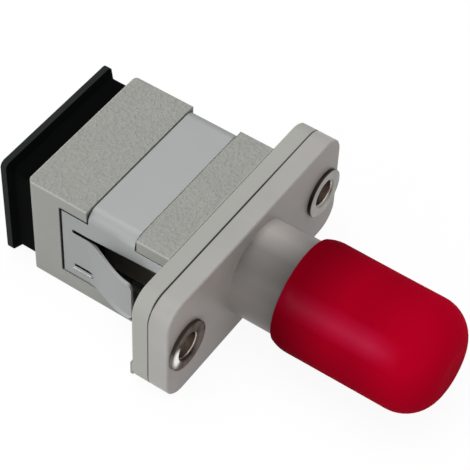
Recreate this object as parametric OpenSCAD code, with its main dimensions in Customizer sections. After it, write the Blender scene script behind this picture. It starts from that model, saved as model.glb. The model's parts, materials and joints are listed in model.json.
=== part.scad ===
// Hybrid fibre adapter: a square push-pull port on one side of a two-hole flange, a round bayonet
// port on the other. X is the optical axis, +X towards the round port. Y runs along the flange and
// Z through its thin side. The origin is on the optical axis, where the two flange halves meet.

/* [Flange] */
// Length of the flange, end to end
flange_l = 22.4; // [21:0.1:24]
// Radius of the flange's corners
flange_corner_r = 1.9; // [1:0.1:2.5]
// Thickness of the flange half that belongs to the square port
rear_flange_t = 1.5; // [1.2:0.1:2.5]
// Thickness of the flange half that belongs to the round port
front_flange_t = 1.7; // [1.5:0.1:2.5]
// Distance from each fixing hole to the flange's end
hole_edge = 2.2; // [2.15:0.05:2.5]
// Chamfer round the flange's outer edges
flange_chamfer = 0.1; // [0.05:0.05:0.4]
// Width of the fine groove where the flange halves meet
parting_gap = 0.1; // [0.06:0.02:0.3]
// Depth of that groove
parting_depth = 0.3; // [0.1:0.05:0.5]

/* [Square port housing] */
// Width of the housing behind the flange
body_w = 13.4; // [12.8:0.1:14]
// Height of the housing and of the flange, which are flush above and below
body_h = 9.9; // [9.4:0.1:10.4]
// Distance from the flange joint to the housing's rear face
body_reach = 14.3; // [13.5:0.1:16]
// Radius of the long edges of the housing
body_edge_r = 0.15; // [0.1:0.05:0.5]
// Radius of the upright corners at the rear
body_corner_r = 0.5; // [0.3:0.1:1.2]
// Wall above and below the square port
port_wall = 1.15; // [1:0.05:1.4]
// Wall on each side of the chamber where the latch arms flex
chamber_wall = 1.1; // [0.9:0.05:1.3]
// Step on each side from the chamber in to the port's mouth
mouth_step = 1.0; // [0.9:0.05:1.1]
// Depth of the narrow mouth of the square port
mouth_l = 2.8; // [2:0.1:3.4]
// Chamfer round the mouth
mouth_chamfer = 0.3; // [0.1:0.05:0.4]
// Width of the plug's key slot
key_w = 3.2; // [2.6:0.1:3.6]
// Depth of the plug's key slot
key_d = 0.6; // [0.3:0.1:0.8]
// Length of the opening in each side wall, behind the clip's spring leg
window_l = 7.0; // [5:0.1:7.2]
// Height of that opening
window_h = 4.7; // [4:0.1:4.8]
// Wall left between that opening and the flange
window_front = 0.5; // [0.2:0.1:1]
// How far its middle lies below the optical axis
window_drop = 0.35; // [0:0.05:0.5]

/* [Retaining clip] */
// Thickness of the clip's sheet
clip_t = 0.25; // [0.2:0.05:0.4]
// How far the clip lies below the housing's surface
clip_sink = 0.06; // [0.02:0.02:0.12]
// Gap between the clip's edges and the recess that it sits in
clip_gap = 0.12; // [0.06:0.02:0.2]
// Gap over the top edge of each side plate
rail_gap = 0.2; // [0.1:0.02:0.3]
// How much deeper the recess is along the side plate's rear and top edges
gap_depth = 0.4; // [0.2:0.05:0.5]
// Distance from the flange joint to the strap's front edge
strap_front = 4.55; // [4:0.05:5]
// Width of the strap over the top
strap_w = 4.2; // [3.8:0.1:4.6]
// Length of each side plate
plate_l = 9.6; // [9:0.1:10]
// Height of the side plate's top edge above the optical axis
plate_top = 3.62; // [3.4:0.02:3.8]
// Depth of the side plate's bottom edge below the optical axis
plate_bottom = 3.15; // [2.8:0.05:3.4]
// Radius outside the clip's bends
clip_bend_r = 1.0; // [0.7:0.1:1.2]
// Height of the slot's lower edge, which is the spring leg's top
leg_top = 1.72; // [1.5:0.02:1.9]
// Width of the slot between the plate's rail and the spring leg
slot_w = 0.42; // [0.3:0.02:0.5]
// How much the slot widens upwards on its way to the flange
slot_rise = 0.55; // [0.2:0.05:0.8]
// Length of the plate that stays whole behind the slot
plate_tail = 1.1; // [0.9:0.05:1.5]
// Length of the spring leg, from the slot's end to its tip
leg_l = 6.4; // [5.6:0.1:6.8]
// Flat stretch of the leg before it bends outward
leg_root = 1.3; // [1:0.1:2]
// How far the leg stands out at its tip
leg_flare = 1.6; // [1:0.05:2]
// Height of the leg at its tip
leg_tip_h = 3.9; // [3:0.1:4.2]
// Radius of the leg's tip corners
leg_tip_r = 0.5; // [0.3:0.05:0.8]
// Length of the pressed slit that bites the housing
slit_l = 1.7; // [1.2:0.1:2]
// Height of the pressed slit
slit_h = 0.3; // [0.2:0.02:0.34]
// Depth of the slit's lower edge below the optical axis
slit_drop = 2.05; // [1.8:0.05:2.3]
// Distance from the slit to the plate's rear edge
slit_back = 1.0; // [0.8:0.1:1.4]
// How far the lip under the slit is pressed outward
slit_lip = 0.2; // [0.1:0.02:0.24]
// Height of that lip
slit_lip_h = 0.5; // [0.3:0.05:0.7]

/* [Round port housing] */
// Diameter of the collar next to the flange
collar_d = 7.8; // [7.4:0.1:8]
// Length of the collar
collar_l = 5.0; // [4.6:0.1:6]
// Diameter of the bayonet barrel
barrel_d = 7.0; // [6.8:0.05:7.2]
// Distance from the flange's front face to the barrel's tip
barrel_l = 12.3; // [11:0.1:13]
// Bore of the barrel
barrel_bore_d = 5.9; // [5.6:0.05:6]
// Thickness of the wall across the barrel's root, which carries the sleeve's holder
web_t = 0.85; // [0.7:0.05:1.5]
// Diameter of each bayonet lug
lug_d = 1.5; // [1.2:0.1:1.8]
// Distance across the two lugs
lug_span = 8.1; // [7.8:0.05:8.2]
// Distance from the barrel's tip to the lugs' centre
lug_back = 3.2; // [2.4:0.1:4]
// Width of the key slot in the barrel's rim
rim_slot_w = 1.5; // [1.2:0.1:2]
// Length of the key slot in the barrel's rim
rim_slot_l = 3.0; // [2:0.1:4]

/* [Fixing bushes] */
// Bore of the fixing bushes
bush_bore_d = 2.2; // [2:0.05:2.4]
// Diameter of a bush's collar
bush_collar_d = 4.1; // [3.8:0.05:4.2]
// Diameter of a bush's shank
bush_shank_d = 2.8; // [2.6:0.05:2.9]
// Thickness of the collar, which rests on the flange's face
bush_collar_t = 0.3; // [0.2:0.05:0.5]

/* [Sleeve and latch] */
// Bore of the alignment sleeve
sleeve_bore_d = 2.5; // [2.49:0.005:2.5]
// Wall of the alignment sleeve
sleeve_wall = 0.35; // [0.3:0.05:0.4]
// Length of the alignment sleeve
sleeve_l = 11.4; // [10.8:0.1:11.6]
// Width of the slit along the sleeve
sleeve_slit = 0.6; // [0.4:0.1:0.8]
// Radial play of the sleeve in its holder
sleeve_play = 0.06; // [0.03:0.01:0.1]
// Wall of the holder tubes
holder_wall = 0.65; // [0.5:0.05:0.7]
// Thickness of the lip that keeps the sleeve in
holder_lip = 0.5; // [0.3:0.1:0.8]
// Opening through that lip
lip_bore_d = 2.9; // [2.7:0.05:3]
// End play of the sleeve in its holder
sleeve_end_play = 0.15; // [0.05:0.05:0.3]
// Thickness of the latch piece's base
latch_base_t = 1.3; // [1:0.1:1.4]
// Gap round the latch piece's base
latch_gap = 0.05; // [0.02:0.01:0.1]
// Room between each latch arm and the chamber's side, for the arm to flex
arm_room = 0.23; // [0.1:0.01:0.3]
// Length of each latch arm
arm_l = 7.0; // [6:0.1:7.5]
// Thickness of each latch arm
arm_t = 0.75; // [0.6:0.05:0.8]
// Height of each latch arm
arm_h = 3.2; // [2.6:0.1:3.6]
// How far each hook reaches into the port
hook_reach = 0.6; // [0.4:0.05:0.8]
// Length of each hook
hook_l = 1.4; // [1:0.1:1.8]
// Length of the slope on each hook
hook_slope = 0.3; // [0.2:0.1:0.6]

/* [Square dust plug] */
// How far the dust plug's rim stays inside the housing's sides
rim_side = 0.2; // [0:0.05:0.4]
// How far the rim stays inside the housing's top and bottom
rim_top = 0.05; // [0:0.05:0.3]
// Thickness of the rim
rim_t = 0.5; // [0.4:0.1:1]
// Length of the slope from the rim to the block
rim_slope = 0.5; // [0.4:0.1:1]
// Step all round from the rim down to the block that meets the housing
rim_step = 0.45; // [0.3:0.05:0.6]
// Distance from the housing's rear face to the rim's outer face
plug_out = 2.7; // [2.4:0.1:3.4]
// Thickness of the plug's closed outer end
plug_end_t = 0.8; // [0.6:0.1:1.5]
// Radius of the plug's corners
plug_corner_r = 0.5; // [0.3:0.05:0.8]
// Length of the plug's tongue inside the port
tongue_l = 5.0; // [4:0.1:5.2]
// Gap between the tongue and the port's opening
tongue_gap = 0.1; // [0.05:0.01:0.15]
// Wall of the hollow tongue
tongue_wall = 0.8; // [0.6:0.1:1]

/* [Round dust cap] */
// Outside diameter of the dust cap
cap_d = 9.1; // [9:0.05:9.6]
// Inside diameter of the dust cap
cap_bore_d = 8.3; // [8.25:0.05:8.4]
// Length of the dust cap
cap_l = 12.7; // [12:0.1:14]
// Distance from the flange's front face to the cap's open lip
cap_start = 4.1; // [3.8:0.1:4.4]
// Thickness of the cap's closed end
cap_end_t = 1.0; // [0.8:0.1:1.4]
// Radius of the rounded closed end
cap_end_r = 3.0; // [2:0.1:3.4]

/* [Hidden] */

$fn = 96;
eps = 0.02; // overlap of pieces that are joined
past = 1; // how far a cut runs on past the surface it opens

flange_h = body_h;
chamber_w = body_w - 2 * chamber_wall;
port_w = chamber_w - 2 * mouth_step;
port_h = body_h - 2 * port_wall;
hole_pitch = flange_l - 2 * hole_edge;
clip_depth = clip_t + clip_sink;
strap_rear = strap_front + strap_w;
plate_front = rear_flange_t + clip_gap;
plate_rear = plate_front + plate_l;
leg_base = plate_rear - plate_tail;
leg_tip = leg_base - leg_l;
leg_bend = leg_base - leg_root;
leg_steps = 12; // straight pieces that the leg's curve is made of
leg_ease = 1.4; // how gently the curve starts
slit_x = plate_rear - slit_back;
recess_rear = plate_rear + clip_gap;
mouth_in = body_reach - mouth_l;
sleeve_d = sleeve_bore_d + 2 * sleeve_wall;
holder_bore_d = sleeve_d + 2 * sleeve_play;
holder_d = holder_bore_d + 2 * holder_wall;
holder_reach = sleeve_l / 2 + sleeve_end_play + holder_lip;
barrel_tip = front_flange_t + barrel_l;
cap_lip = front_flange_t + cap_start;
cap_tip = cap_lip + cap_l;
tongue_w = port_w - 2 * tongue_gap;
tongue_h = port_h - 2 * tongue_gap;
rim_w = body_w - 2 * rim_side;
rim_h = body_h - 2 * rim_top;
block_w = rim_w - 2 * rim_step;
block_h = rim_h - 2 * rim_step;
arm_out = chamber_w / 2 - arm_room;
arm_in = arm_out - arm_t;
lead_in = 0.2;
nib_h = 1.3;
nib_w = 0.5;
nib_out = 0.22;
nib_z = -3.9;

// Outline with round corners, made of squares and circles
module round_rect(w, h, r) {
    square([w - 2 * r, h], center = true);
    square([w, h - 2 * r], center = true);
    for (a = [-1, 1], b = [-1, 1])
        translate([a * (w / 2 - r), b * (h / 2 - r)]) circle(r);
}

// Sweeps a Y, Z outline along X from x0 to x1
module along_x(x0, x1) {
    translate([x0, 0, 0]) rotate([90, 0, 90]) linear_extrude(x1 - x0) children();
}

// Sweeps an X, Z outline along Y, with the sweep centred
module along_y(w) {
    translate([0, w / 2, 0]) rotate([90, 0, 0]) linear_extrude(w) children();
}

// Disc of a round bar along X
module bar_x(x0, x1, d) {
    translate([x0, 0, 0]) rotate([0, 90, 0]) cylinder(h = x1 - x0, d = d);
}

// Flange plate from x0 to x1, with its chamfered face at x1
module flange_plate(x0, x1) {
    c = flange_chamfer * sign(x1 - x0);
    long_y = flange_l - 2 * flange_corner_r;
    long_z = flange_h - 2 * flange_corner_r;
    along_x(min(x0, x1 - c), max(x0, x1 - c)) round_rect(flange_l, flange_h, flange_corner_r);
    // Chamfered layer: two trapezoid bars and a cone at each corner
    translate([x1 - c, 0, 0]) mirror([c < 0 ? 1 : 0, 0, 0]) {
        along_y(long_y)
            polygon([[0, -flange_h / 2], [abs(c), -flange_h / 2 + abs(c)],
                     [abs(c), flange_h / 2 - abs(c)], [0, flange_h / 2]]);
        translate([0, 0, -long_z / 2]) linear_extrude(long_z)
            polygon([[0, -flange_l / 2], [abs(c), -flange_l / 2 + abs(c)],
                     [abs(c), flange_l / 2 - abs(c)], [0, flange_l / 2]]);
        for (a = [-1, 1], b = [-1, 1])
            translate([0, a * long_y / 2, b * long_z / 2]) rotate([0, 90, 0])
                cylinder(h = abs(c), r1 = flange_corner_r, r2 = flange_corner_r - abs(c));
    }
}

// Places its children at both fixing holes
module at_holes() {
    for (s = [-1, 1]) translate([0, s * hole_pitch / 2, 0]) children();
}

// Cross-section that the clip's inner face wraps
module clip_core(grow) {
    w = body_w - 2 * clip_depth + 2 * grow;
    h = body_h - 2 * clip_depth + 2 * grow;
    round_rect(w, h, clip_bend_r - clip_t + grow);
}

// Block of the housing behind the flange, before it is hollowed
module body_block() {
    intersection() {
        along_x(-body_reach, -rear_flange_t + eps) round_rect(body_w, body_h, body_edge_r);
        translate([0, 0, -body_h]) linear_extrude(2 * body_h)
            union() {
                translate([-body_reach + body_corner_r, -body_w / 2])
                    square([body_reach, body_w]);
                translate([-body_reach, -body_w / 2 + body_corner_r])
                    square([body_reach, body_w - 2 * body_corner_r]);
                for (s = [-1, 1])
                    translate([-body_reach + body_corner_r, s * (body_w / 2 - body_corner_r)])
                        circle(body_corner_r);
            }
    }
}

// Groove over the top for the strap, and the recess in each side
module clip_recess() {
    difference() {
        union() {
            along_x(-strap_rear - clip_gap, -strap_front + clip_gap)
                translate([-body_w, 0]) square([2 * body_w, body_h]);
            along_x(-recess_rear, -rear_flange_t)
                translate([-body_w, -plate_bottom - clip_gap])
                    square([2 * body_w, plate_top + rail_gap + plate_bottom + clip_gap]);
        }
        along_x(-body_reach, 0) clip_core(0);
    }
    // Deeper gap along each side plate's rear edge and its top edge
    difference() {
        union() {
            along_x(-recess_rear, -plate_rear)
                translate([-body_w, -plate_bottom - clip_gap])
                    square([2 * body_w, plate_top + rail_gap + plate_bottom + clip_gap]);
            along_x(-recess_rear, -strap_rear)
                translate([-body_w, plate_top]) square([2 * body_w, rail_gap]);
        }
        along_x(-body_reach, 0) clip_core(-gap_depth);
    }
}

module square_port_housing() {
    color([0.64, 0.64, 0.61])
    difference() {
        union() {
            difference() {
                body_block();
                clip_recess();
            }
            flange_plate(-parting_gap, -rear_flange_t);
            along_x(-parting_gap - eps, 0)
                round_rect(flange_l - 2 * parting_depth, flange_h - 2 * parting_depth,
                           flange_corner_r - parting_depth);
            // Small moulded nib on the back of the flange, near its lower corner
            translate([-rear_flange_t - nib_out, -flange_l / 2 + flange_chamfer, nib_z])
                cube([nib_out + eps, nib_w, nib_h]);
        }
        // Mouth, its chamfer and the key slot
        along_x(-body_reach - past, -mouth_in + eps) square([port_w, port_h], center = true);
        hull() {
            along_x(-body_reach - eps, -body_reach)
                square([port_w + 2 * mouth_chamfer, port_h + 2 * mouth_chamfer], center = true);
            along_x(-body_reach + mouth_chamfer, -body_reach + mouth_chamfer + eps)
                square([port_w, port_h], center = true);
        }
        translate([-body_reach - past, -key_w / 2, -port_h / 2 - key_d])
            cube([mouth_l + past, key_w, key_d + eps]);
        // Chamber for the latch piece
        along_x(-mouth_in, eps) square([chamber_w, port_h], center = true);
        // Opening in each side wall, behind the spring leg
        translate([-rear_flange_t - window_front - window_l, -body_w,
                   -window_h / 2 - window_drop])
            cube([window_l, 2 * body_w, window_h]);
        // Slot in each side wall, behind the clip's pressed slit
        translate([-slit_x, -body_w, -slit_drop - slit_lip_h])
            cube([slit_l, 2 * body_w, slit_lip_h + slit_h]);
        at_holes() bar_x(-rear_flange_t - past, past, bush_shank_d);
    }
}

module round_port_housing() {
    color([0.62, 0.61, 0.59])
    difference() {
        union() {
            flange_plate(0, front_flange_t);
            bar_x(front_flange_t - eps, front_flange_t + collar_l, collar_d);
            bar_x(front_flange_t, barrel_tip, barrel_d);
            // Bayonet lugs, left and right
            translate([barrel_tip - lug_back, -lug_span / 2, 0]) rotate([-90, 0, 0])
                cylinder(h = lug_span, d = lug_d);
        }
        difference() {
            bar_x(web_t, barrel_tip + past, barrel_bore_d);
            bar_x(0, holder_reach, holder_d);
        }
        bar_x(-past, sleeve_l / 2 + sleeve_end_play, holder_bore_d);
        bar_x(-past, barrel_tip, lip_bore_d);
        // Key slot in the barrel's rim
        translate([barrel_tip - rim_slot_l, -rim_slot_w / 2, 0])
            cube([rim_slot_l + past, rim_slot_w, barrel_d]);
        at_holes() bar_x(-past, front_flange_t + past, bush_shank_d);
    }
}

// Outline of one spring leg seen from the side, and of its tip's round corners
module leg_outline() {
    tip_bottom = leg_top - leg_tip_h;
    difference() {
        polygon([[-plate_rear, -plate_bottom], [-leg_bend, -plate_bottom],
                 [-leg_tip, tip_bottom], [-leg_tip, leg_top], [-plate_rear, leg_top]]);
        for (c = [[leg_top, -1], [tip_bottom, 1]])
            translate([-leg_tip, c[0]]) difference() {
                translate([-leg_tip_r, min(0, c[1] * leg_tip_r)]) square(leg_tip_r);
                translate([-leg_tip_r, c[1] * leg_tip_r]) circle(leg_tip_r);
            }
    }
}

// Path of the leg seen from above, on the side of -Y: flat at its root, then a smooth curve
module leg_path() {
    y0 = -body_w / 2 + clip_sink;
    curve = [for (k = [0:leg_steps])
        [-leg_bend + (leg_bend - leg_tip) * k / leg_steps,
         y0 - leg_flare * pow(sin(90 * k / leg_steps), leg_ease)]];
    inner = [for (k = [leg_steps:-1:0]) curve[k] + [0, clip_t]];
    polygon(concat([[-plate_rear, y0]], curve, inner, [[-plate_rear, y0 + clip_t]]));
}

// Sheet of the clip before the legs are bent: strap over the top and a plate down each side
module clip_shell() {
    intersection() {
        difference() {
            along_x(-plate_rear, -plate_front) clip_core(clip_t);
            along_x(-plate_rear - past, -plate_front + past) clip_core(0);
        }
        union() {
            along_x(-strap_rear, -strap_front)
                translate([-body_w, plate_top - eps]) square([2 * body_w, body_h]);
            along_x(-plate_rear, -plate_front)
                translate([-body_w, -plate_bottom])
                    square([2 * body_w, plate_bottom + plate_top]);
        }
    }
}

// Cut in each side plate that frees the leg: a round-ended slot that widens towards the flange
module leg_cut() {
    rail = leg_top + slot_w;
    along_y(2 * body_w) {
        translate([-leg_base, leg_top + slot_w / 2]) circle(d = slot_w);
        polygon([[-leg_base, rail], [-leg_base, leg_top], [-leg_bend, leg_top],
                 [-leg_bend, -plate_bottom - past], [-plate_front + past, -plate_bottom - past],
                 [-plate_front + past, rail + slot_rise], [-leg_bend, rail]]);
    }
}

module spring_leg() {
    intersection() {
        translate([0, 0, -body_h]) linear_extrude(2 * body_h) leg_path();
        translate([0, -body_w / 2, 0]) along_y(body_w) leg_outline();
    }
}

// Lip under the slit, on the side of -Y, pressed outward along its top edge
module pressed_lip() {
    y0 = -body_w / 2 + clip_sink;
    foot = -slit_drop - slit_lip_h - eps;
    along_x(-slit_x, -slit_x + slit_l)
        polygon([[y0, foot], [y0 - slit_lip, -slit_drop],
                 [y0 - slit_lip + clip_t, -slit_drop], [y0 + clip_t, foot]]);
}

module retaining_clip() {
    color([0.66, 0.67, 0.68]) {
        difference() {
            union() {
                difference() {
                    clip_shell();
                    leg_cut();
                }
                for (s = [0, 1]) mirror([0, s, 0]) spring_leg();
            }
            along_y(2 * body_w)
                translate([-slit_x, -slit_drop - slit_lip_h])
                    square([slit_l, slit_lip_h + slit_h]);
        }
        for (s = [0, 1]) mirror([0, s, 0]) pressed_lip();
    }
}

// One bush: a shank through both flange halves and a thin collar on the front face
module bush() {
    front = front_flange_t + bush_collar_t;
    difference() {
        union() {
            bar_x(-rear_flange_t, front_flange_t + eps, bush_shank_d);
            bar_x(front_flange_t, front, bush_collar_d);
        }
        bar_x(-rear_flange_t - past, front + past, bush_bore_d);
        // Lead-in at the front of the bore
        translate([front - lead_in, 0, 0]) rotate([0, 90, 0])
            cylinder(h = lead_in + eps, d1 = bush_bore_d,
                     d2 = bush_bore_d + 2 * (lead_in + eps));
    }
}

module fixing_bush_near() {
    color([0.72, 0.72, 0.70]) translate([0, -hole_pitch / 2, 0]) bush();
}

module fixing_bush_far() {
    color([0.72, 0.72, 0.70]) translate([0, hole_pitch / 2, 0]) bush();
}

// Hook arm of the latch piece, on the side of -Y, as seen from above
module arm_path() {
    tip = latch_base_t + arm_l;
    hook = tip - hook_l;
    polygon([[0, -arm_out], [-tip, -arm_out], [-tip, -arm_in],
             [-hook - hook_slope, -arm_in + hook_reach], [-hook, -arm_in + hook_reach],
             [-hook, -arm_in], [0, -arm_in]]);
}

module latch_insert() {
    base_w = chamber_w - 2 * latch_gap;
    color([0.10, 0.10, 0.11])
    difference() {
        union() {
            along_x(-latch_base_t, 0) square([base_w, port_h - 2 * latch_gap], center = true);
            bar_x(-holder_reach, -latch_base_t + eps, holder_d);
            for (s = [0, 1]) mirror([0, s, 0])
                translate([0, 0, -arm_h / 2]) linear_extrude(arm_h) arm_path();
        }
        bar_x(-sleeve_l / 2 - sleeve_end_play, past, holder_bore_d);
        bar_x(-holder_reach - past, past, lip_bore_d);
    }
}

module alignment_sleeve() {
    color([0.93, 0.92, 0.88])
    difference() {
        bar_x(-sleeve_l / 2, sleeve_l / 2, sleeve_d);
        bar_x(-sleeve_l, sleeve_l, sleeve_bore_d);
        translate([-sleeve_l, -sleeve_slit / 2, 0])
            cube([2 * sleeve_l, sleeve_slit, sleeve_d]);
    }
}

module square_dust_plug() {
    out = -body_reach - plug_out;
    color([0.06, 0.07, 0.08])
    difference() {
        union() {
            along_x(out, out + rim_t) round_rect(rim_w, rim_h, plug_corner_r);
            along_x(out + rim_t - eps, -body_reach) round_rect(block_w, block_h, plug_corner_r);
            // Slope from the rim down to the block
            hull() {
                along_x(out + rim_t - eps, out + rim_t) round_rect(rim_w, rim_h, plug_corner_r);
                along_x(out + rim_t + rim_slope - eps, out + rim_t + rim_slope)
                    round_rect(block_w, block_h, plug_corner_r);
            }
            along_x(-body_reach - eps, -body_reach + tongue_l)
                round_rect(tongue_w, tongue_h, plug_corner_r);
        }
        // Hollow tongue, open towards the port
        along_x(out + plug_end_t, -body_reach + tongue_l + past)
            square([tongue_w - 2 * tongue_wall, tongue_h - 2 * tongue_wall], center = true);
    }
}

module round_dust_cap() {
    r = cap_d / 2;
    bore = cap_bore_d / 2;
    lip_r = (r - bore) / 2;
    inner_r = cap_end_r - (r - bore);
    color([0.61, 0.0, 0.11])
    rotate([0, 90, 0]) rotate_extrude()
        difference() {
            union() {
                translate([0, cap_lip + lip_r]) square([r, cap_l - lip_r - cap_end_r]);
                translate([0, cap_lip]) square([r - lip_r, lip_r + eps]);
                translate([0, cap_tip - cap_end_r - eps])
                    square([r - cap_end_r, cap_end_r + eps]);
                translate([r - lip_r, cap_lip + lip_r]) circle(lip_r);
                intersection() {
                    translate([r - cap_end_r, cap_tip - cap_end_r]) circle(cap_end_r);
                    translate([0, cap_tip - cap_end_r - eps]) square([r, cap_end_r + past]);
                }
            }
            translate([-past, cap_lip - past])
                square([bore + past, cap_l - cap_end_t - inner_r + past]);
            translate([-past, cap_tip - cap_end_t - inner_r - eps])
                square([bore - inner_r + past, inner_r + eps]);
            intersection() {
                translate([bore - inner_r, cap_tip - cap_end_t - inner_r]) circle(inner_r);
                translate([0, cap_tip - cap_end_t - inner_r - eps])
                    square([bore, inner_r + past]);
            }
        }
}

square_port_housing();
round_port_housing();
retaining_clip();
latch_insert();
alignment_sleeve();
fixing_bush_near();
fixing_bush_far();
square_dust_plug();
round_dust_cap();
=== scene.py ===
# %% [markdown]
# # A hybrid fibre adapter
# This small part joins two kinds of optical plug: a square push-pull plug goes in at one end and
# a round bayonet plug at the other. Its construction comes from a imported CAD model, loaded here as
# a fixed frame. Blender adds what the eye sees: moulded plastic, sheet steel, soft vinyl and light.
# X is the optical axis, Y runs along the flange and Z is up. Everything is in metres.

import json
import math

import bmesh
import bpy
from mathutils import Euler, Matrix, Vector, noise

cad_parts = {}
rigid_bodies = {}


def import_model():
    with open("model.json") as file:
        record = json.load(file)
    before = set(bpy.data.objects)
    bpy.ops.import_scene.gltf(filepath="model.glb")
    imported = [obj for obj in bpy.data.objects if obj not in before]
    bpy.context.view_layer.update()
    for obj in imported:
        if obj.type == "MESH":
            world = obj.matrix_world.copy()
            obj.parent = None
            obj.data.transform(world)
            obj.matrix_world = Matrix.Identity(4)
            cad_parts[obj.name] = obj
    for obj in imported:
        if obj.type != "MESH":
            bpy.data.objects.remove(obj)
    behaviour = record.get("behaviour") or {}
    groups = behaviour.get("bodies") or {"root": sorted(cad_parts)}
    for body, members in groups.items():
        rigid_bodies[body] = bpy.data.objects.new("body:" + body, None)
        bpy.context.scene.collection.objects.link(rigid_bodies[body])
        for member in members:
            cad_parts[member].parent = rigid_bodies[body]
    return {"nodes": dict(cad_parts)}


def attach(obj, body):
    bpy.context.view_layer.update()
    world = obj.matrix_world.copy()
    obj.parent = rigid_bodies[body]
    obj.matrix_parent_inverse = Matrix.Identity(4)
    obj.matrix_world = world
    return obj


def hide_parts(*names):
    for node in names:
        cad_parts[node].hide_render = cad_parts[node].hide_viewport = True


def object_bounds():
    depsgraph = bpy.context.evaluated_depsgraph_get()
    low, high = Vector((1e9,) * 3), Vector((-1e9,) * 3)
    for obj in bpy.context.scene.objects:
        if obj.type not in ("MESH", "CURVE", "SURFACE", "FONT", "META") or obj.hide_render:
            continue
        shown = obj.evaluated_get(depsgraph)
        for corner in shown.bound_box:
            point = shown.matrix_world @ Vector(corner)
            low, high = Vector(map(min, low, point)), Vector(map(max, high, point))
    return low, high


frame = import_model()
cad_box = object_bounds()
nodes = frame["nodes"]
MM = 0.001
print("CAD nodes:", sorted(nodes))

# %% [markdown]
# ## Camera
# The picture shows the adapter from above its near corner, through a long lens, as a catalogue
# picture does. A long lens keeps the edges nearly parallel. The camera's place and turn were solved
# from the edges in the picture, and the lens is in millimetres for Blender's usual 36 mm sensor.

# %% Camera
camera_place = Vector((47.53, -75.30, 107.35)) * MM
camera_turn = Euler([math.radians(a) for a in (40.247, -1.826, 34.575)])
lens_mm = 143.28

lens = bpy.data.cameras.new("lens")
lens.lens = lens_mm
lens.clip_start, lens.clip_end = 0.01, 10
camera = bpy.data.objects.new("camera", lens)
camera.location = camera_place
camera.rotation_euler = camera_turn
bpy.context.collection.objects.link(camera)
bpy.context.scene.camera = camera
print("camera stands", round(camera_place.length / MM), "mm from the middle of the adapter")

# %% [markdown]
# ## Helpers for node trees
# Every material is a small tree of shader nodes. Written out in full, a tree hides its idea in
# dozens of lines, so two helpers add a node and wire it in one line each. A socket gets a number
# or a colour, or the output of another node, whichever it is given.


# %% Helpers for node trees
def wire(tree, socket, value):
    """Gives a socket a fixed value, or links another node's output to it."""
    if isinstance(value, bpy.types.NodeSocket):
        tree.links.new(value, socket)
    else:
        socket.default_value = value


def add(tree, kind, sockets=None, **settings):
    """Adds a shader node, with its settings, and fills the sockets by name or number."""
    made = tree.nodes.new("ShaderNode" + kind)
    for name, value in settings.items():
        setattr(made, name, value)
    for key, value in (sockets or {}).items():
        wire(tree, made.inputs[key], value)
    return made


def maths(tree, operation, *values):
    """Adds a Math node and gives its result."""
    made = add(tree, "Math", operation=operation)
    for place, value in enumerate(values):
        wire(tree, made.inputs[place], value)
    return made.outputs[0]


def group(name, inputs, outputs):
    """Starts a node group with named inputs, which have defaults, and named outputs."""
    tree = bpy.data.node_groups.new(name, "ShaderNodeTree")
    for kind, names, side in (("Float", inputs, "INPUT"), (None, outputs, "OUTPUT")):
        for key, value in names.items():
            socket_type = "NodeSocket" + (kind or value)
            socket = tree.interface.new_socket(key, in_out=side, socket_type=socket_type)
            if kind:
                socket.default_value = value
    start = tree.nodes.new("NodeGroupInput")
    end = tree.nodes.new("NodeGroupOutput")
    return tree, start.outputs, end.inputs


def material(name):
    """An empty material with its output node, ready for a shader."""
    made = bpy.data.materials.new(name)
    made.use_nodes = True
    made.node_tree.nodes.clear()
    return made, made.node_tree


def finish_material(tree, shader):
    """Links a shader to the material's surface."""
    end = tree.nodes.new("ShaderNodeOutputMaterial")
    tree.links.new(shader, end.inputs["Surface"])


# %% [markdown]
# ## Effects that several materials share
# Three things happen to more than one material here. Moulded plastic takes over the fine pits of
# its spark-eroded mould. Every part's colour drifts a little from place to place. And no edge of
# a real part is perfectly sharp: it is slightly round, and it catches the light. The edge group
# also gives a mask with which materials paint that light into their colour, a painted highlight.
# Each effect is one node group, and every material sets its own sizes.


# %% Mould grain
grain_group, given, result = group(
    "mould grain",
    {"Pit Size": 0.0002, "Unevenness": 0.5},
    {"Height": "Float"},
)
place = add(grain_group, "TexCoord").outputs["Object"]
per_metre = maths(grain_group, "DIVIDE", 1.0, given["Pit Size"])
pits = add(grain_group, "TexNoise", {"Vector": place, "Scale": per_metre, "Detail": 3.0, "Roughness": 0.6})
coarse = maths(grain_group, "MULTIPLY", per_metre, 0.35)
swells = add(grain_group, "TexNoise", {"Vector": place, "Scale": coarse, "Detail": 1.0})
mixed = add(grain_group, "Mix", {"Factor": given["Unevenness"], "A": pits.outputs[0], "B": swells.outputs[0]})
wire(grain_group, result["Height"], mixed.outputs["Result"])
print("group:", grain_group.name)

# %% Colour drift
drift_group, given, result = group(
    "colour drift",
    {"Patch Size": 0.004, "Amount": 0.05},
    {"Shade": "Float"},
)
place = add(drift_group, "TexCoord").outputs["Object"]
per_metre = maths(drift_group, "DIVIDE", 1.0, given["Patch Size"])
patches = add(drift_group, "TexNoise", {"Vector": place, "Scale": per_metre, "Detail": 4.0})
centred = maths(drift_group, "SUBTRACT", patches.outputs[0], 0.5)
scaled = maths(drift_group, "MULTIPLY", centred, given["Amount"])
wire(drift_group, result["Shade"], maths(drift_group, "ADD", scaled, 1.0))
print("group:", drift_group.name)

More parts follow.
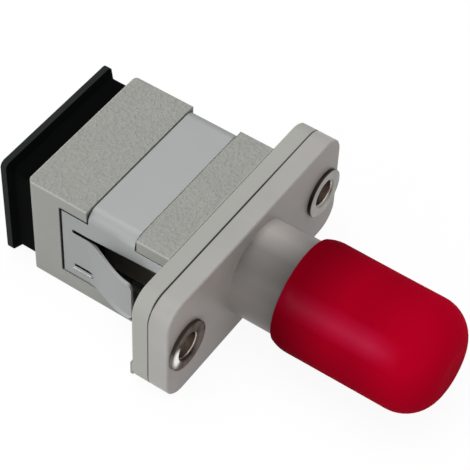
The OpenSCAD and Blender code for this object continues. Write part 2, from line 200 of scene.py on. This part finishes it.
# %% Soft edges
edge_group, given, result = group(
    "soft edges",
    {"Radius": 0.00008},
    {"Normal": "Vector", "Edge": "Float"},
)
rounded = add(edge_group, "Bevel", {"Radius": given["Radius"]}, samples=6)
true_normal = add(edge_group, "NewGeometry").outputs["Normal"]
along = add(edge_group, "VectorMath", {0: rounded.outputs[0], 1: true_normal}, operation="DOT_PRODUCT")
turned = maths(edge_group, "SUBTRACT", 1.0, along.outputs["Value"])
edge = add(edge_group, "MapRange", {"Value": turned, "From Min": 0.02, "From Max": 0.2})
wire(edge_group, result["Normal"], rounded.outputs[0])
wire(edge_group, result["Edge"], edge.outputs["Result"])
print("group:", edge_group.name)


def use(tree, shared, **values):
    """Places a shared group in a material with its own values."""
    made = tree.nodes.new("ShaderNodeGroup")
    made.node_tree = shared
    for key, value in values.items():
        wire(tree, made.inputs[key.replace("_", " ")], value)
    return made.outputs


def shaded(tree, colour, *factors):
    """A colour times one or more factors that change over the surface."""
    result = colour
    for factor in factors:
        result = add(tree, "VectorMath", {0: result, 1: factor}, operation="MULTIPLY").outputs[0]
    return result


def blend(tree, mask, under, over):
    """The first colour where the mask is 0, the second where it is 1."""
    full = [c + (1.0,) if isinstance(c, tuple) else c for c in (under, over)]
    sockets = {"Factor": mask, 6: full[0], 7: full[1]}
    return add(tree, "Mix", sockets, data_type="RGBA").outputs[2]


# %% [markdown]
# ## Grey housing
# The housing is moulded in a warm grey plastic. The mould was spark-eroded where it forms the wide
# top and bottom, which leaves a fine even grain there, while the sides and the flange came out of
# polished inserts and are smooth. One material shows all of it with masks made from the place on
# the part: the grain stops where the flange begins, the body's top faces are painted lighter than
# its sides, the outer edges carry a painted highlight, and the deep gaps round the clip carry
# painted shade and are nearly black.


# %% Places on the housing
def ramp(tree, value, start, stop, low=0.0, high=1.0):
    """Goes from low at the start value to high at the stop value."""
    sockets = {"Value": value, "From Min": start, "From Max": stop, "To Min": low, "To Max": high}
    return add(tree, "MapRange", sockets).outputs[0]


def product(tree, *masks):
    """Multiplies masks, so that the result is 1 only where all of them are."""
    result = masks[0]
    for mask in masks[1:]:
        result = maths(tree, "MULTIPLY", result, mask)
    return result


def most(tree, *masks):
    """The largest of some masks, so that the result is 1 where any of them is."""
    result = masks[0]
    for mask in masks[1:]:
        result = maths(tree, "MAXIMUM", result, mask)
    return result


def distance(tree, a, b):
    """Length of a vector with two parts."""
    squares = maths(tree, "ADD", product(tree, a, a), product(tree, b, b))
    return maths(tree, "SQRT", squares)


def place_on_part(tree):
    """X of the point, its distances from the middle in Y and Z, and how upright its face is."""
    spot = add(tree, "TexCoord").outputs
    x, y, z = add(tree, "SeparateXYZ", {0: spot["Object"]}).outputs
    normal_z = add(tree, "SeparateXYZ", {0: spot["Normal"]}).outputs["Z"]
    return x, maths(tree, "ABSOLUTE", y), maths(tree, "ABSOLUTE", z), normal_z


def beside(tree, value, line):
    """Is 1 within a tenth of a millimetre of a line."""
    away = maths(tree, "ABSOLUTE", maths(tree, "SUBTRACT", value, line))
    return ramp(tree, away, 0.11 * MM, 0.07 * MM)


def within(tree, value, low, high):
    """Is 1 between two values."""
    above_low = maths(tree, "GREATER_THAN", value, low)
    return product(tree, above_low, maths(tree, "LESS_THAN", value, high))


def parting_line(tree):
    """The groove between the flange's halves, over its wide faces. It fades towards the far end."""
    x, y, z = add(tree, "SeparateXYZ", {0: add(tree, "TexCoord").outputs["Object"]}).outputs
    wide = ramp(tree, maths(tree, "ABSOLUTE", z), 4.3 * MM, 4.6 * MM)
    fading = ramp(tree, y, 2.0 * MM, 8.0 * MM, 1.0, 0.3)
    return product(tree, beside(tree, x, PARTING), wide, fading)


PARTING, FLANGE_BACK, BODY_REAR = -0.05 * MM, -1.5 * MM, -14.3 * MM
RECESS_REAR, STRAP_REAR, STRAP_FRONT = -11.34 * MM, -8.87 * MM, -4.43 * MM
RAIL_TOP, PLATE_FOOT = 3.82 * MM, -3.27 * MM
HALF_WIDTH, HALF_HEIGHT = 6.7 * MM, 4.95 * MM
print("body:", 2 * HALF_WIDTH / MM, "by", 2 * HALF_HEIGHT / MM, "mm")

# %% Grey housing
grey, tree = material("warm grey plastic, grained")
edges = use(tree, edge_group, Radius=0.00009)
grain = use(tree, grain_group, Pit_Size=0.00028, Unevenness=0.05)
drift = use(tree, drift_group, Patch_Size=0.004, Amount=0.08)
x, y, z, normal_z = place_on_part(tree)
height = add(tree, "SeparateXYZ", {0: add(tree, "TexCoord").outputs["Object"]}).outputs["Z"]
behind = ramp(tree, x, FLANGE_BACK, FLANGE_BACK - 0.1 * MM)
wide_face = ramp(tree, maths(tree, "ABSOLUTE", normal_z), 0.6, 0.95, 0.1)
depth = product(tree, behind, wide_face)
bump = add(tree, "Bump", {
    "Strength": depth,
    "Distance": 0.00030,
    "Height": grain["Height"],
    "Normal": edges["Normal"],
})
pitted = ramp(tree, grain["Height"], 0.35, 0.65, 0.94, 1.05)
grain_tone = add(tree, "Mix", {"Factor": depth, "A": 1.0, "B": pitted}).outputs[0]
# Painted light: on the body, faces that look up are painted lighter than the sides, as the overhead lamp
# lights them. The flange takes one even, lighter tone.
painted_facing_shade = ramp(tree, maths(tree, "ABSOLUTE", normal_z), 0.3, 0.9, 0.93, 1.08)
place_tone = add(tree, "Mix", {"Factor": behind, "A": 1.14, "B": painted_facing_shade}).outputs[0]

# Painted highlight: thin lines along the body's four long edges and its rear edges at top and bottom, and
# every edge that the soft-edges mask finds, are painted lighter.
off_side = maths(tree, "SUBTRACT", y, HALF_WIDTH)
off_top = maths(tree, "SUBTRACT", z, HALF_HEIGHT)
off_rear = maths(tree, "SUBTRACT", x, BODY_REAR)
long_edge = ramp(tree, distance(tree, off_side, off_top), 0.14 * MM, 0.07 * MM)
rear_edge = ramp(tree, distance(tree, off_rear, off_top), 0.10 * MM, 0.03 * MM)
painted_highlight_and_wear = product(tree, most(tree, product(tree, long_edge, 0.6), rear_edge), behind)
painted_edge_highlight_mask = most(tree, product(tree, edges["Edge"], 0.6), painted_highlight_and_wear)
bright_edge = ramp(tree, painted_edge_highlight_mask, 0.0, 1.0, 1.0, 1.4)

# Painted shade: the recess walls round the clip, seen through the narrow gaps, are painted nearly black, and
# so are thin lines along the recess's rear edge, the rail and the strap's front end, where the gaps lie in
# shadow.
sunk = ramp(tree, y, 6.66 * MM, 6.54 * MM)
outside_port = ramp(tree, y, 4.9 * MM, 5.1 * MM)
below_top = ramp(tree, z, 4.7 * MM, 4.6 * MM)
off_rear_face = ramp(tree, off_rear, 0.8 * MM, 1.0 * MM)
over_foot = ramp(tree, height, PLATE_FOOT, PLATE_FOOT + 0.1 * MM)
painted_gap_shade = product(tree, sunk, outside_port, behind, below_top, off_rear_face, over_foot)

outer_face = ramp(tree, y, 5.6 * MM, 5.9 * MM)
below_rail = ramp(tree, height, RAIL_TOP + 0.1 * MM, RAIL_TOP)
above_rail = ramp(tree, height, RAIL_TOP, RAIL_TOP + 0.1 * MM)
rear_rim = product(tree, beside(tree, x, RECESS_REAR), over_foot, below_rail)
rail_rim = product(tree, beside(tree, height, RAIL_TOP), within(tree, x, RECESS_REAR, STRAP_REAR))
over_top = ramp(tree, z, 4.6 * MM, 4.9 * MM, 1.0, 0.25)
strap_rim = product(tree, beside(tree, x, STRAP_FRONT), above_rail, over_top)
painted_rim_shade = most(tree, rear_rim, rail_rim, strap_rim)
shallow = ramp(tree, z, 4.0 * MM, 4.5 * MM, 0.9, 0.7)
# The flange's parting line, a real groove, is darkened in the same step.
gap_shade_and_joint = most(
    tree, product(tree, painted_gap_shade, shallow), product(tree, painted_rim_shade, outer_face),
    product(tree, parting_line(tree), 0.6),
)
gap_shade_and_joint_tone = ramp(tree, gap_shade_and_joint, 0.0, 1.0, 1.0, 0.08)
skin = add(tree, "BsdfPrincipled", {
    "Base Color": shaded(
        tree, (0.366, 0.368, 0.342), drift["Shade"], grain_tone, place_tone, bright_edge, gap_shade_and_joint_tone
    ),
    "Roughness": 0.6,
    "Specular IOR Level": 0.2,
    "Normal": bump.outputs[0],
})
finish_material(tree, skin.outputs[0])
print("material:", grey.name)

# %% [markdown]
# ## Grey round housing
# The round port is a separate moulding, smooth all over. Its barrel, and the flange's faces that
# look forward towards the red cap, are painted a little darker and warmer, as painted shade. The
# barrel darkens further towards the cap's lip, a painted shadow of the cap, and under the cap its
# colour rises again. Its top and far side are painted lighter, a painted highlight, and elsewhere
# its faces that look up are painted darker. Ramps along X and masks from the direction of a face
# give those changes.

# %% Grey round housing
FLANGE_FACE, LIP_PLACE = 1.7 * MM, 5.8 * MM
smooth_grey, tree = material("warm grey plastic, smooth")
edges = use(tree, edge_group, Radius=0.00009)
grain = use(tree, grain_group, Pit_Size=0.0005)
drift = use(tree, drift_group, Patch_Size=0.004, Amount=0.22)
spot = add(tree, "TexCoord").outputs
x = add(tree, "SeparateXYZ", {0: spot["Object"]}).outputs["X"]
facing = add(tree, "SeparateXYZ", {0: spot["Normal"]}).outputs
# Painted shade: the barrel darkens towards the cap's lip, a painted shadow of the cap, and under the cap its
# colour rises again.
painted_shade_towards_lip = ramp(tree, x, FLANGE_FACE, LIP_PLACE, 1.05, 0.38)
past_lip = ramp(tree, x, LIP_PLACE + 1 * MM, LIP_PLACE + 2.5 * MM, 1.0, 2.1)
# Painted light: the barrel's faces that look up are painted darker, and its top and far side are painted
# lighter, a painted highlight.
painted_upward_shade = ramp(tree, facing["Z"], 0.3, 0.75, 0.97, 0.62)
painted_highlight_and_wear = product(
    tree, ramp(tree, facing["Y"], -0.30, 0.15), ramp(tree, facing["Y"], 0.95, 0.6)
)
painted_barrel_light = add(tree, "Mix", {"Factor": painted_highlight_and_wear, "A": painted_upward_shade, "B": 1.41}).outputs[0]
barrel = product(tree, painted_shade_towards_lip, past_lip, painted_barrel_light)
line_tone = ramp(tree, parting_line(tree), 0.0, 1.0, 1.0, 0.4)
on_barrel = maths(tree, "GREATER_THAN", x, FLANGE_FACE + 0.02 * MM)
tone = add(tree, "Mix", {"Factor": on_barrel, "A": 1.12, "B": barrel}).outputs[0]
# Painted shade: the barrel and the flange faces that look forward, towards the red cap, are painted darker
# and warmer.
warm = most(tree, on_barrel, ramp(tree, facing["X"], 0.4, 0.9))
colour = blend(tree, warm, (0.378, 0.370, 0.350), (0.362, 0.336, 0.316))
bump = add(tree, "Bump", {"Distance": 0.000008, "Height": grain["Height"], "Normal": edges["Normal"]})
# Painted highlight: edges are painted a little lighter.
painted_edge_highlight = ramp(tree, edges["Edge"], 0.0, 1.0, 1.0, 1.15)
skin = add(tree, "BsdfPrincipled", {
    "Base Color": shaded(tree, colour, drift["Shade"], tone, painted_edge_highlight, line_tone),
    "Roughness": 0.42,
    "Specular IOR Level": 0.2,
    "Normal": bump.outputs[0],
})
finish_material(tree, skin.outputs[0])
print("material:", smooth_grey.name)

# %% [markdown]
# ## Clip steel
# The panel clip is bent from thin stainless spring sheet with a satin surface. The rolling lines of
# the sheet run along Y over the strap and show as fine stretched noise in the bump. Where the sheet
# is cut or pressed through, the edge carries a painted highlight at its outer rim and painted shade
# further in: such edges are the only faces of the clip that look straight up from low on its
# sides, so a mask finds them by height and direction. The sides and bends are painted lighter than
# the top, the rail by the flange and the strap's front end are painted lighter, and every edge
# carries a painted highlight.

# %% Clip steel
STRAP_FOOT, PLATE_FACE, SLIT_DROP, LEG_TOP = 3.7 * MM, 6.64 * MM, 2.05 * MM, 1.72 * MM
steel, tree = material("satin spring steel")
edges = use(tree, edge_group, Radius=0.00005)
drift = use(tree, drift_group, Patch_Size=0.003, Amount=0.06)
x, y, z, normal_z = place_on_part(tree)
normal = add(tree, "TexCoord").outputs["Normal"]
facing_front = add(tree, "SeparateXYZ", {0: normal}).outputs["X"]
stretched = add(tree, "Mapping", {
    "Vector": add(tree, "TexCoord").outputs["Object"],
    "Scale": (9000.0, 900.0, 9000.0),
}).outputs[0]
rolling = add(tree, "TexNoise", {"Vector": stretched, "Scale": 1.0, "Detail": 3.0})
bump = add(tree, "Bump", {
    "Distance": 0.0000015,
    "Height": rolling.outputs[0],
    "Normal": edges["Normal"],
})
# Painted light: the clip's sides and bends are painted lighter than its top.
painted_facing_shade = ramp(tree, maths(tree, "ABSOLUTE", normal_z), 0.25, 0.65, 1.17, 0.96)
painted_top_tone = ramp(tree, maths(tree, "ABSOLUTE", normal_z), 0.90, 0.99, 1.0, 1.0 / 0.96)
# Painted light: cut edges are painted bright at their outer rim, a painted highlight, brightest at the slit,
# and nearly black further in, a painted shade.
low_down = ramp(tree, z, STRAP_FOOT, STRAP_FOOT - 0.05 * MM)
cut_edge = product(tree, ramp(tree, normal_z, 0.6, 0.8), low_down)
off_slit = maths(tree, "ABSOLUTE", maths(tree, "SUBTRACT", z, SLIT_DROP))
painted_cut_highlight = ramp(tree, off_slit, 0.12 * MM, 0.08 * MM, 1.12, 2.3)
painted_cut_shade = ramp(tree, y, PLATE_FACE - 0.09 * MM, PLATE_FACE - 0.03 * MM, 0.05, 1.0)
painted_cut_light = add(tree, "Mix", {
    "Factor": cut_edge,
    "A": 1.0,
    "B": product(tree, painted_cut_highlight, painted_cut_shade),
}).outputs[0]
# Painted highlight: every edge is painted a little lighter.
painted_edge_highlight = ramp(tree, edges["Edge"], 0.0, 1.0, 1.0, 1.2)
# Painted light: the side of the rail near the flange, where the flange shades it, is painted lighter.
on_rail = product(
    tree, ramp(tree, x, -6.2 * MM, -3.4 * MM), ramp(tree, normal_z, 0.6, 0.3),
    ramp(tree, z, LEG_TOP, LEG_TOP + 0.1 * MM),
)
painted_rail_light = ramp(tree, on_rail, 0.0, 1.0, 1.0, 1.35)
# Painted light: the strap's front cut end is painted much lighter, so the gap before it looks less dark.
end_face = product(tree, ramp(tree, facing_front, 0.6, 0.8), ramp(tree, z, 4.5 * MM, 4.7 * MM))
painted_end_light = ramp(tree, end_face, 0.0, 1.0, 1.0, 2.6)
skin = add(tree, "BsdfPrincipled", {
    "Base Color": shaded(
        tree, (0.325, 0.331, 0.330), drift["Shade"],
        painted_facing_shade, painted_top_tone, painted_cut_light, painted_edge_highlight, painted_rail_light, painted_end_light,
    ),
    "Metallic": 1.0,
    "Roughness": 0.62,
    "Normal": bump.outputs[0],
})
finish_material(tree, skin.outputs[0])
print("material:", steel.name)

# %% [markdown]
# ## Bush steel
# The bushes are turned on a lathe, so fine rings run round them. Handling has polished the collars,
# and a brown tarnish is left in the bore. Round the collar's foot both bushes are dark brown. The
# near bush is painted a mottled dark brown, a painted dark reflection, but for one patch that
# carries a painted highlight. Rings, bore and foot follow the distance from the bush's own axis,
# 9 mm from the middle. The painted dark brown is less metallic, so that it stays dark, and every
# edge is painted lighter, a painted highlight.

# %% Bush steel
BUSH_AXIS, BORE_R, COLLAR_R = 9.0 * MM, 1.1 * MM, 2.05 * MM
PATCH_Y, PATCH_Z = -10.45 * MM, 0.0
bush_metal, tree = material("turned steel, tarnished")
edges = use(tree, edge_group, Radius=0.00007)
drift = use(tree, drift_group, Patch_Size=0.0009, Amount=0.9)
x, y, z = add(tree, "SeparateXYZ", {0: add(tree, "TexCoord").outputs["Object"]}).outputs
radius = distance(tree, maths(tree, "SUBTRACT", maths(tree, "ABSOLUTE", y), BUSH_AXIS), z)
rings = maths(tree, "SINE", product(tree, radius, math.tau / (0.12 * MM)))
bump = add(tree, "Bump", {"Distance": 0.000002, "Height": rings, "Normal": edges["Normal"]})
in_bore = maths(tree, "LESS_THAN", radius, BORE_R + 0.04 * MM)
at_foot = maths(tree, "GREATER_THAN", radius, COLLAR_R - 0.03 * MM)
# Painted dark reflection: the near bush is painted a mottled dark brown.
near_one = maths(tree, "LESS_THAN", y, 0.0)
mottled = ramp(tree, drift["Shade"], 0.88, 1.12, 0.5, 2.6)
painted_dark_brown = shaded(tree, (0.060, 0.046, 0.038), mottled)
metal = blend(tree, near_one, shaded(tree, (0.225, 0.212, 0.195), drift["Shade"]), painted_dark_brown)
# Both collars are dark brown round their foot.
metal = blend(tree, at_foot, metal, (0.060, 0.048, 0.038))
metal = blend(tree, in_bore, metal, shaded(tree, (0.50, 0.445, 0.395), drift["Shade"]))
# Painted highlight: a bright patch on the near bush's collar.
across = product(tree, maths(tree, "SUBTRACT", y, PATCH_Y), 1.8)
off_patch = distance(tree, across, maths(tree, "SUBTRACT", z, PATCH_Z))
on_collar = maths(tree, "GREATER_THAN", radius, BORE_R + 0.12 * MM)
painted_highlight_and_wear = product(tree, ramp(tree, off_patch, 1.15 * MM, 0.55 * MM), on_collar)
metal = blend(tree, painted_highlight_and_wear, metal, (0.86, 0.84, 0.79))
# The painted dark brown part is made less metallic: the near bush without its patch and bore.
painted_dark_part = product(tree, near_one, maths(tree, "SUBTRACT", 1.0, most(tree, painted_highlight_and_wear, in_bore)))
# Painted highlight: every edge of the bushes is painted much lighter.
skin = add(tree, "BsdfPrincipled", {
    "Base Color": shaded(tree, metal, ramp(tree, edges["Edge"], 0.0, 1.0, 1.0, 2.6)),
    "Metallic": ramp(tree, painted_dark_part, 0.0, 1.0, 1.0, 0.1),
    "Roughness": 0.3,
    "Specular IOR Level": 0.012,
    "Normal": bump.outputs[0],
})
finish_material(tree, skin.outputs[0])
print("material:", bush_metal.name)

# %% [markdown]
# ## Black plastic
# The square dust plug is black. The latch piece is near black, kept dark also as painted shade for
# the shadowed hollow where it sits. The plug's outer rim is what fingers pull on, and it has gone
# slightly grey from handling. Black plastic has almost no colour of its own, so a small change of
# base colour is what shows the rim, and its gloss is kept low. Every edge is painted lighter, a
# painted highlight.


# %% Black plastic
def black_plastic(name, colour, rubbed_back=-1.0):
    """Moulded black plastic, rubbed grey behind a given X, with a painted highlight on its edges."""
    made, tree = material(name)
    edges = use(tree, edge_group, Radius=0.00010)
    grain = use(tree, grain_group, Pit_Size=0.0003)
    drift = use(tree, drift_group, Patch_Size=0.003, Amount=0.5)
    bump = add(tree, "Bump", {"Distance": 0.00001, "Height": grain["Height"], "Normal": edges["Normal"]})
    along_x = add(tree, "SeparateXYZ", {0: add(tree, "TexCoord").outputs["Object"]}).outputs["X"]
    painted_highlight_and_wear = maths(tree, "LESS_THAN", along_x, rubbed_back)
    # Painted highlight on the edges, and real handling wear on the rim behind the given X.
    wear_and_edge_highlight = most(tree, painted_highlight_and_wear, product(tree, edges["Edge"], 0.15))
    tone = add(tree, "Mix", {"Factor": wear_and_edge_highlight, "A": 1.0, "B": 16.0}).outputs[0]
    skin = add(tree, "BsdfPrincipled", {
        "Base Color": shaded(tree, colour, drift["Shade"], tone),
        "Roughness": 0.6,
        "Specular IOR Level": 0.012,
        "Normal": bump.outputs[0],
    })
    finish_material(tree, skin.outputs[0])
    print("material:", made.name)
    return made


RIM_FRONT = -16.48 * MM
plug_black = black_plastic("black plug plastic", (0.0016, 0.0018, 0.0018), RIM_FRONT)
# Kept near black also as painted shade for the shadowed hollow where the latch sits.
latch_black = black_plastic("black latch plastic", (0.075, 0.068, 0.056))

# %% [markdown]
# ## White ceramic
# The split sleeve that lines up the two fibres is ground from ceramic, since it has to be round to
# a thousandth of a millimetre. Ground ceramic is dense, creamy white and glossy, so an even colour
# and a low roughness are enough. It only shows when the plug or the cap is off.

# %% Ceramic
ceramic, tree = material("white ceramic")
edges = use(tree, edge_group, Radius=0.00005)
drift = use(tree, drift_group, Patch_Size=0.002, Amount=0.03)
skin = add(tree, "BsdfPrincipled", {
    "Base Color": shaded(tree, (0.82, 0.80, 0.75), drift["Shade"]),
    "Roughness": 0.15,
    "Normal": edges["Normal"],
})
finish_material(tree, skin.outputs[0])
print("material:", ceramic.name)

# %% [markdown]
# ## Red vinyl
# The round cap is dipped in soft red vinyl. Its colour is deep and it hardly shines, since every
# reflection of a pale room would wash the red out. Its colour is painted darker towards the lip,
# over the grey barrel, and on the underside, as painted shade, and lighter towards the closed end,
# as painted light. One band along the side is glossier, with a thin coat, and its colour there is
# painted lighter and pinker: a painted highlight, the soft pale streak.

# %% Red vinyl
BAND_SIDE = (0.0, -0.755, 0.656)
vinyl, tree = material("soft red vinyl")
grain = use(tree, grain_group, Pit_Size=0.0009)
drift = use(tree, drift_group, Patch_Size=0.006, Amount=0.12)
bump = add(tree, "Bump", {"Distance": 0.00001, "Height": grain["Height"]})
spot = add(tree, "TexCoord").outputs["Object"]
x, y, z = add(tree, "SeparateXYZ", {0: spot}).outputs
# Painted shade towards the lip and on the underside, painted light towards the closed end.
painted_lip_shade = ramp(tree, x, LIP_PLACE + 1 * MM, 10.5 * MM, 0.52, 1.0)
painted_tip_light = ramp(tree, x, 12.5 * MM, 17.5 * MM, 1.0, 1.35)
painted_underside_shade = ramp(tree, z, 2.5 * MM, -2.0 * MM, 1.0, 0.70)
# A band along the side gets a thin glossy coat, and its colour is painted lighter and pinker there, a painted
# highlight.
round_x = add(tree, "CombineXYZ", {"Y": y, "Z": z}).outputs[0]
outward = add(tree, "VectorMath", {0: round_x}, operation="NORMALIZE").outputs[0]
turned = add(tree, "VectorMath", {0: outward, 1: BAND_SIDE}, operation="DOT_PRODUCT")
band = ramp(tree, turned.outputs["Value"], 0.962, 1.0)
from_lip = ramp(tree, x, 5.5 * MM, 13.0 * MM, 0.45, 1.0)
to_tip = ramp(tree, x, 16.0 * MM, 13.5 * MM)
gloss_and_highlight_band = product(tree, band, from_lip, to_tip)
painted_streak = ramp(tree, gloss_and_highlight_band, 0.0, 1.0, 1.0, 1.15)
colour = blend(tree, gloss_and_highlight_band, (0.372, 0.0002, 0.0130), (0.372, 0.0012, 0.0290))
skin = add(tree, "BsdfPrincipled", {
    "Base Color": shaded(tree, colour, drift["Shade"], painted_lip_shade, painted_tip_light, painted_underside_shade, painted_streak),
    "Roughness": 0.7,
    "Specular IOR Level": 0.006,
    "Coat Weight": product(tree, gloss_and_highlight_band, 0.13),
    "Coat Roughness": 0.35,
    "Normal": bump.outputs[0],
})
finish_material(tree, skin.outputs[0])
print("material:", vinyl.name)

# %% [markdown]
# ## Red cap
# A dipped cap is never quite true: its lip is rolled thin, its wall is a little uneven and its
# closed end is softly domed. The CAD cap is exact and stays for the contact checks, hidden. What
# shows is a lathed skin in its place: a profile is turned round X in small steps, and a slow noise
# pulls the wall in by a few hundredths of a millimetre, so that it never leaves the CAD cap's
# space.

# %% Red cap
CAP_LIP, CAP_TIP = 5.8, 18.5
CAP_R, CAP_BORE_R, CAP_END_R, CAP_END_T = 4.55, 4.15, 3.0, 1.0
ROUND_STEPS = 128


def arc(centre, radius, start, stop, steps):
    """Points of an arc in the plane of X and radius, angles in degrees from +X."""
    points = []
    for k in range(steps + 1):
        angle = math.radians(start + (stop - start) * k / steps)
        points.append((centre[0] + radius * math.cos(angle), centre[1] + radius * math.sin(angle)))
    return points


def cap_profile():
    """The wall from the lip's inside round the outside to the tip, then back down the bore."""
    lip = [(CAP_LIP + 0.9, CAP_BORE_R)] + arc((CAP_LIP + 0.07, CAP_BORE_R + 0.07), 0.07, 270, 90, 6)
    shoulder = [(CAP_LIP + 0.12 + 0.12 * k, CAP_R - 0.24 * (1 - k / 10) ** 2.2) for k in range(11)]
    wall = [(CAP_LIP + 1.6 + 0.45 * k, CAP_R) for k in range(18)]
    dome = arc((CAP_TIP - CAP_END_R, CAP_R - CAP_END_R), CAP_END_R, 90, 0, 14)
    face = [(CAP_TIP, (CAP_R - CAP_END_R) * (1 - k / 4)) for k in range(1, 4)]
    inner_r = CAP_END_R - 0.4
    floor_x = CAP_TIP - CAP_END_T
    inner = arc((floor_x - inner_r, CAP_BORE_R - inner_r), inner_r, 0, 90, 10)
    return lip + shoulder + wall + dome + face, inner


def turn_points(mesh, points):
    """Adds one ring of vertices for each point of a profile."""
    rings = []
    for x, r in points:
        ring = []
        for k in range(ROUND_STEPS):
            turn = math.tau * k / ROUND_STEPS
            y, z = math.cos(turn), math.sin(turn)
            slow = noise.noise(Vector((x * 0.16, y * 0.9, z * 0.9)))
            pull = 0.035 * (0.5 + 0.5 * slow) * min(1, max(0, (x - CAP_LIP - 0.5) / 3))
            radius = r - min(pull, r * 0.02)
            ring.append(mesh.verts.new((x * MM, radius * y * MM, radius * z * MM)))
        rings.append(ring)
    return rings


def join_rings(mesh, rings):
    """Joins each ring to the next with quads."""
    for a, b in zip(rings, rings[1:]):
        for k in range(ROUND_STEPS):
            nxt = (k + 1) % ROUND_STEPS
            mesh.faces.new((a[k], a[nxt], b[nxt], b[k]))


def close_ring(mesh, ring, x):
    """Closes a small ring with a fan of triangles."""
    middle = mesh.verts.new((x * MM, 0, 0))
    for k in range(ROUND_STEPS):
        mesh.faces.new((ring[k], ring[(k + 1) % ROUND_STEPS], middle))


shape = bmesh.new()
outside, inside = cap_profile()
outer_rings = turn_points(shape, outside)
inner_rings = turn_points(shape, inside)
join_rings(shape, outer_rings)
join_rings(shape, inner_rings)
join_rings(shape, [outer_rings[0], inner_rings[-1]])
close_ring(shape, outer_rings[-1], CAP_TIP)
close_ring(shape, inner_rings[0], CAP_TIP - CAP_END_T)
bmesh.ops.recalc_face_normals(shape, faces=shape.faces)
for face in shape.faces:
    face.smooth = True
mesh = bpy.data.meshes.new("red_cap")
shape.to_mesh(mesh)
shape.free()
mesh.materials.append(vinyl)
red_cap = bpy.data.objects.new("red_cap", mesh)
bpy.context.collection.objects.link(red_cap)
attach(red_cap, "dust_cap")
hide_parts("round_dust_cap")
print("red cap:", len(mesh.polygons), "faces")

# %% [markdown]
# ## Finishes on the CAD nodes
# The other pieces have the right shape already, so they stay as they are and only take a material.

# %% Dress the CAD nodes
FINISH = {
    "square_port_housing": grey,
    "round_port_housing": smooth_grey,
    "retaining_clip": steel,
    "latch_insert": latch_black,
    "alignment_sleeve": ceramic,
    "fixing_bush_near": bush_metal,
    "fixing_bush_far": bush_metal,
    "square_dust_plug": plug_black,
    "round_dust_cap": vinyl,
}
for name, finish in FINISH.items():
    nodes[name].data.materials.clear()
    nodes[name].data.materials.append(finish)
print("dressed", len(FINISH), "nodes")

# %% [markdown]
# ## Floor and light
# The adapter lies on a wide pale floor. To the camera, and in reflections, the floor is nearly
# white by itself, as a catalogue picture's ground is, and it still takes the object's soft shadow.
# The Light Path node tells which kind of ray asks: it is 1 for rays that see the floor directly or
# in a mirror, and 0 for light that is scattered.


# %% Floor
def seen_directly(tree):
    """Is 1 for camera, mirror and glass rays, and 0 for scattered light."""
    path = add(tree, "LightPath").outputs
    mirror_or_glass = maths(tree, "MAXIMUM", path["Is Glossy Ray"], path["Is Transmission Ray"])
    return maths(tree, "MAXIMUM", path["Is Camera Ray"], mirror_or_glass)


floor_z = cad_box[0].z
mesh = bpy.data.meshes.new("floor")
half = 3.0
corners = [(-half, -half), (half, -half), (half, half), (-half, half)]
mesh.from_pydata([(x, y, floor_z) for x, y in corners], [], [(0, 1, 2, 3)])
floor = bpy.data.objects.new("floor", mesh)
bpy.context.collection.objects.link(floor)
pale, tree = material("pale floor")
matt = add(tree, "BsdfDiffuse", {"Color": (0.9, 0.9, 0.9, 1)})
glow = add(tree, "Emission", {"Color": (1, 1, 1, 1), "Strength": 1.03})
share = maths(tree, "MULTIPLY", seen_directly(tree), 0.9)
both = add(tree, "MixShader", {0: share, 1: matt.outputs[0], 2: glow.outputs[0]})
finish_material(tree, both.outputs[0])
floor.data.materials.append(pale)
print("floor at", round(floor_z / MM, 2), "mm")

# %% [markdown]
# ## World
# A white room lights the adapter evenly from all sides. Scattered light gets less of it than the
# camera and mirror-like surfaces see. So the ground stays white and the metal bright, while the
# plastic keeps its shading.

# %% World
world = bpy.data.worlds.new("studio")
bpy.context.scene.world = world
world.use_nodes = True
tree = world.node_tree
tree.nodes.clear()
strength = ramp(tree, seen_directly(tree), 0.0, 1.0, 0.45, 1.0)
sky = add(tree, "Background", {"Color": (1, 1, 1, 1), "Strength": strength})
end = tree.nodes.new("ShaderNodeOutputWorld")
tree.links.new(sky.outputs[0], end.inputs["Surface"])
print("world:", world.name)

# %% [markdown]
# ## Lamps
# Two soft lamps shape the object, as a photographer's softboxes do. A square one overhead lights
# the wide faces. A long narrow one stands on the near side and lights the flange's end and the
# clip's side plate, so that the bent sheet shows a soft change of tone.


# %% Lamps
def softbox(name, place, width, height, watts, aim=(0, 0, 0)):
    """A rectangular studio lamp that faces a point near the adapter."""
    data = bpy.data.lights.new(name, "AREA")
    data.shape = "RECTANGLE"
    data.size, data.size_y = width, height
    data.energy = watts
    lamp = bpy.data.objects.new(name, data)
    lamp.location = place
    lamp.rotation_euler = (Vector(aim) - Vector(place)).to_track_quat("-Z", "Y").to_euler()
    bpy.context.collection.objects.link(lamp)
    return lamp


softbox("overhead", (-0.05, 0.02, 0.35), 0.3, 0.3, 0.55)
softbox("near strip", (-0.093, -0.252, 0.126), 0.30, 0.022, 0.26)
print("lamps:", sorted(light.name for light in bpy.data.lights))

# %% [markdown]
# ## Finish
# The last cell picks plain colours for the picture.

# %% Finish
scene = bpy.context.scene
scene.view_settings.view_transform = "Standard"
